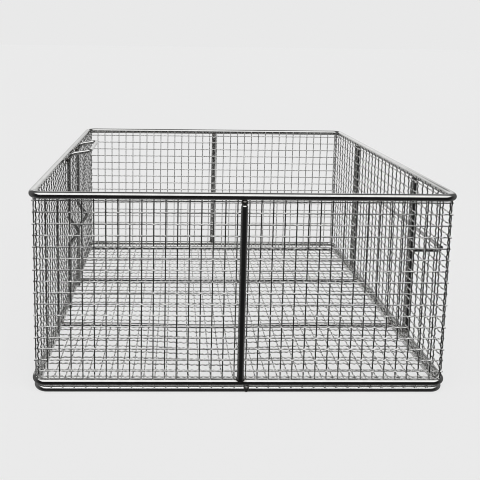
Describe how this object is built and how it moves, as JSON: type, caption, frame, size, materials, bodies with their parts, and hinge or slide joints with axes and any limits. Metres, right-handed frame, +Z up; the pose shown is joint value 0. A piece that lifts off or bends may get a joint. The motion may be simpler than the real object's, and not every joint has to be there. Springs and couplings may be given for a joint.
{
  "type": "deep fryer basket",
  "caption": "Rectangular stainless wire mesh frying basket on a welded rod frame, with a bracket for a loose handle and a hanger bar.",
  "frame": {"origin": "middle of the base ring, on the surface that the basket stands on", "axes": "+X across the basket towards the hanger bar, +Y from the front wall to the back wall, +Z up"},
  "size_m": [0.3878, 0.343, 0.1841],
  "materials": {
    "frame_rod": "electropolished stainless rod",
    "fitting_rod": "electropolished stainless rod, darker at the welds",
    "mesh_wire": "bright crimped stainless wire"
  },
  "bodies": {
    "root": {"top_rim": "frame_rod", "upper_base_ring": "frame_rod", "lower_base_ring": "frame_rod", "front_post": "frame_rod", "back_post": "frame_rod", "right_front_post": "frame_rod", "right_back_post": "frame_rod", "floor_bar_front": "frame_rod", "floor_bar_back": "frame_rod", "handle_bracket": "fitting_rod", "hanger_bar": "fitting_rod", "hanger_arm_front": "fitting_rod", "hanger_arm_back": "fitting_rod", "front_mesh": "mesh_wire", "back_mesh": "mesh_wire", "left_mesh": "mesh_wire", "right_mesh": "mesh_wire", "floor_mesh": "mesh_wire"}
  },
  "joints": []
}
